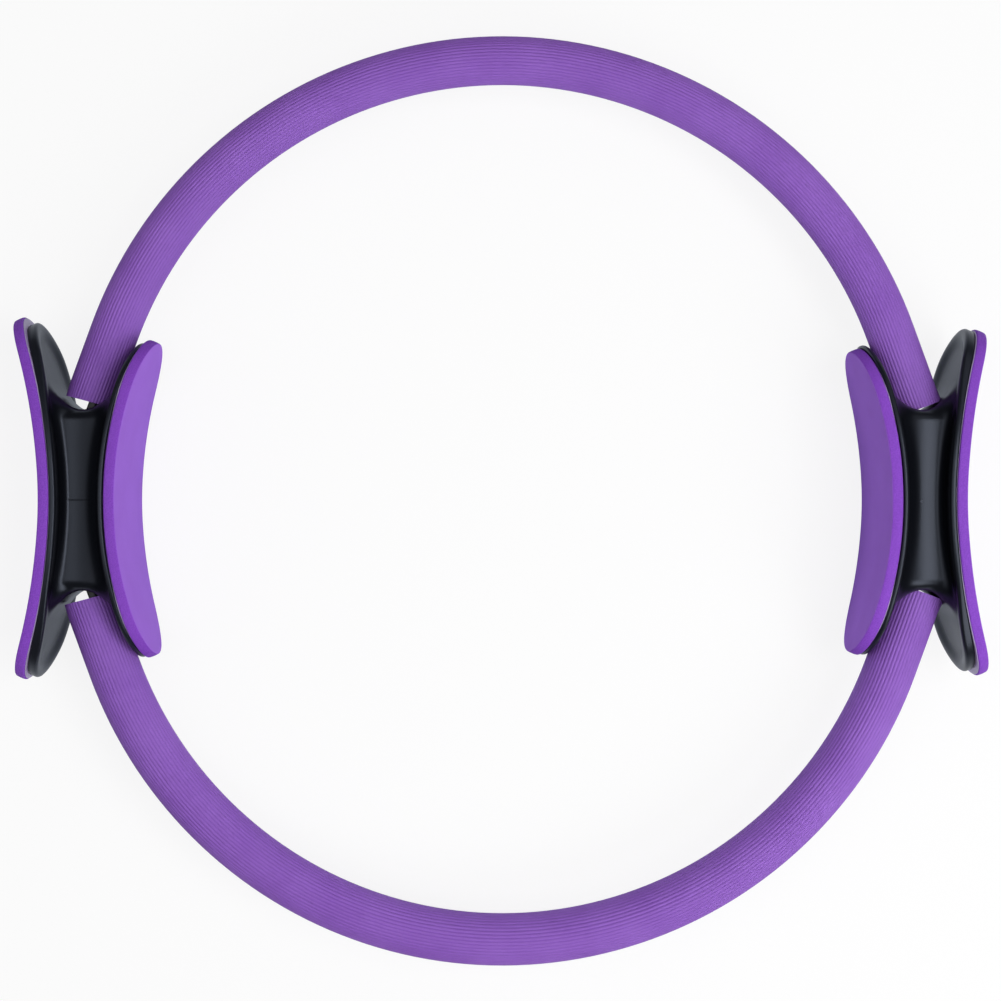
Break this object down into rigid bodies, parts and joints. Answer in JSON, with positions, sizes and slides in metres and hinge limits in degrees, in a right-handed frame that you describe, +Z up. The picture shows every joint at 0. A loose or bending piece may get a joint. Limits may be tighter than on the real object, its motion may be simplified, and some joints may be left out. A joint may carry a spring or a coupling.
{
  "type": "pilates ring",
  "caption": "Sprung exercise hoop with ribbed foam sleeves and padded handles on opposite sides, squeezed or pushed apart between hands or legs.",
  "frame": {"origin": "below the ring's centre, on the surface that the handles' side edges lie on", "axes": "+X through the right-hand handle, +Y towards the upper crown of the hoop, +Z up along the ring's axis"},
  "size_m": [0.3908, 0.3759, 0.055],
  "materials": {
    "purple_sleeve": "matte closed-cell foam, ribbed along its length",
    "purple_pad": "matte closed-cell foam",
    "black_moulding": "semi-gloss injection moulding",
    "adhesive_film": "translucent lilac-grey double-sided film",
    "strip_composite": "black fibreglass strip, satin",
    "screw_steel": "zinc-plated self-tapping screw"
  },
  "bodies": {
    "left_handle": {"left_handle_frame": "black_moulding", "left_outer_pad": "purple_pad", "left_inner_pad": "purple_pad", "left_outer_film": "adhesive_film", "left_inner_film": "adhesive_film", "left_strip_screws": "screw_steel", "upper_spring_strip": "strip_composite", "lower_spring_strip": "strip_composite"},
    "right_handle": {"right_handle_frame": "black_moulding", "right_outer_pad": "purple_pad", "right_inner_pad": "purple_pad", "right_outer_film": "adhesive_film", "right_inner_film": "adhesive_film", "right_strip_screws": "screw_steel"},
    "upper_left_arm": {"upper_left_sleeve": "purple_sleeve"},
    "upper_right_arm": {"upper_right_sleeve": "purple_sleeve"},
    "lower_left_arm": {"lower_left_sleeve": "purple_sleeve"},
    "lower_right_arm": {"lower_right_sleeve": "purple_sleeve"}
  },
  "joints": [
    {"name": "squeeze", "type": "hinge", "parent": "left_handle", "child": "upper_left_arm", "pos_m": [-0.16617, 0.0355, 0.0275], "axis": [0, 0, 1], "range_deg": [-2, 10], "stiffness_Nm_per_rad": 16, "deforming": ["upper_spring_strip", "lower_spring_strip"]},
    {"name": "upper_crown_bend", "type": "hinge", "parent": "upper_left_arm", "child": "upper_right_arm", "pos_m": [0, 0.1778, 0.0275], "axis": [0, 0, 1], "range_deg": [-20, 4], "stiffness_Nm_per_rad": 6.5},
    {"name": "upper_right_bend", "type": "hinge", "parent": "upper_right_arm", "child": "right_handle", "pos_m": [0.16617, 0.0355, 0.0275], "axis": [0, 0, 1], "range_deg": [-2, 10], "stiffness_Nm_per_rad": 16},
    {"name": "lower_left_bend", "type": "hinge", "parent": "left_handle", "child": "lower_left_arm", "pos_m": [-0.16617, -0.0355, 0.0275], "axis": [0, 0, 1], "range_deg": [-10, 2], "stiffness_Nm_per_rad": 16},
    {"name": "lower_crown_bend", "type": "hinge", "parent": "lower_left_arm", "child": "lower_right_arm", "pos_m": [0, -0.1778, 0.0275], "axis": [0, 0, 1], "range_deg": [-4, 20], "stiffness_Nm_per_rad": 6.5}
  ],
  "couplings": [
    {"joint": "upper_crown_bend", "follows": "squeeze", "ratio": -2},
    {"joint": "upper_right_bend", "follows": "squeeze", "ratio": 1},
    {"joint": "lower_left_bend", "follows": "squeeze", "ratio": -1},
    {"joint": "lower_crown_bend", "follows": "squeeze", "ratio": 2}
  ]
}
